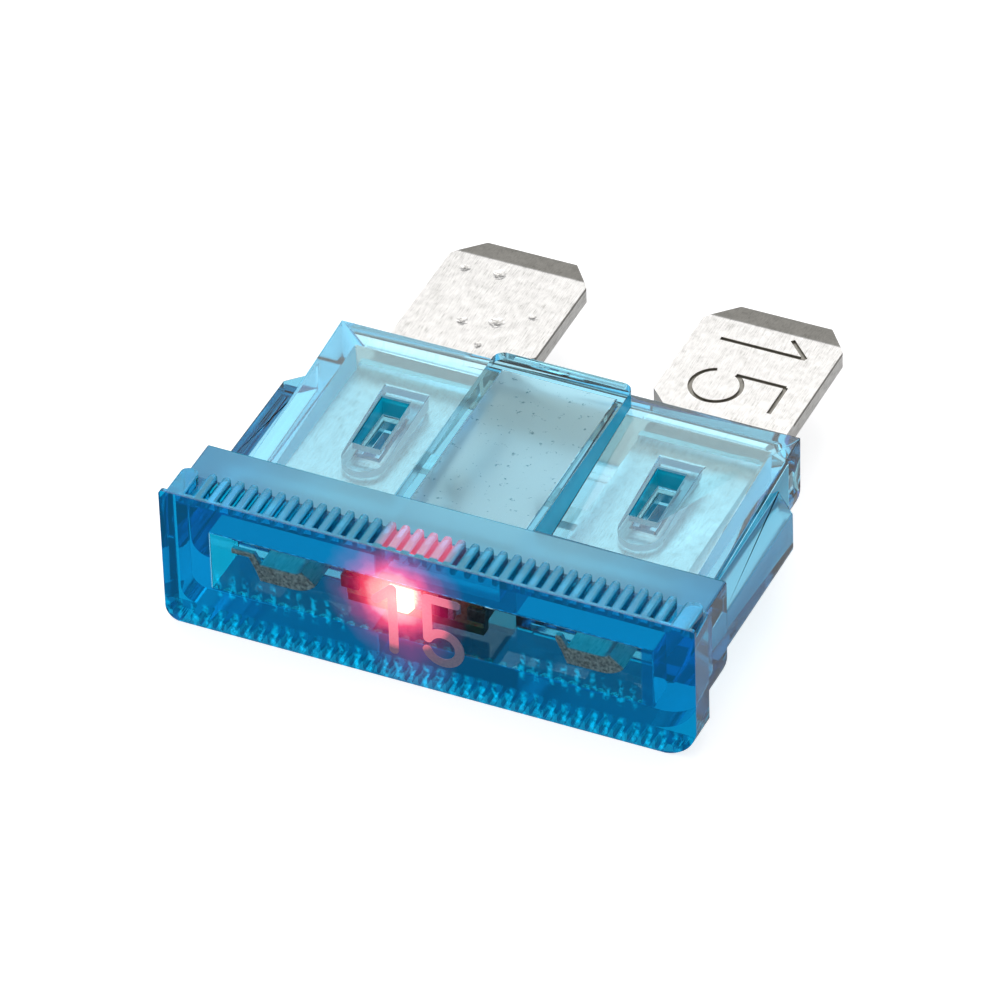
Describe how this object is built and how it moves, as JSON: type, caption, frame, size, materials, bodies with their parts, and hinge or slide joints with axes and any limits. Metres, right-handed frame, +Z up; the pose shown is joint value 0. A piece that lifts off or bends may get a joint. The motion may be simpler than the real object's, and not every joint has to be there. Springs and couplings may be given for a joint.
{
  "type": "automotive blade fuse",
  "caption": "Regular-size blade fuse: a clear blue housing with a ribbed grip, bevelled tinned blades, and a blown-fuse light that glows behind the printed rating.",
  "frame": {"origin": "under the middle of the whole fuse, on the surface that its wide side lies on", "axes": "+X across both blades, towards the blade with the pressed 15; +Y from the gripped head to the blade tips; +Z up through the thickness"},
  "size_m": [0.019, 0.0194, 0.0054],
  "materials": {
    "clear_blue": "clear blue polycarbonate, polished",
    "tinned_blade": "zinc alloy with a bright tin coat, fine grain along the blade",
    "green_board": "glass-epoxy circuit board with green mask",
    "copper_pad": "plated copper",
    "led_base": "white laminate",
    "tin_plate": "bright tin plate",
    "led_die": "lit red die",
    "led_cap": "clear epoxy",
    "ceramic": "fired alumina",
    "film": "dark overglaze",
    "solder": "bright solder",
    "lead_strip": "tinned copper strip",
    "ink": "pale pad-printed ink"
  },
  "bodies": {
    "root": {"housing": "clear_blue", "blade_left": "tinned_blade", "blade_right": "tinned_blade", "circuit_board": "green_board", "pad_left": "copper_pad", "pad_middle": "copper_pad", "pad_right": "copper_pad", "led_base": "led_base", "led_ends": "tin_plate", "led_die": "led_die", "led_cap": "led_cap", "resistor_body": "ceramic", "resistor_film": "film", "resistor_ends": "tin_plate", "solder_joints": "solder", "lead_left": "lead_strip", "lead_right": "lead_strip", "rating_digits": "ink"}
  },
  "joints": []
}
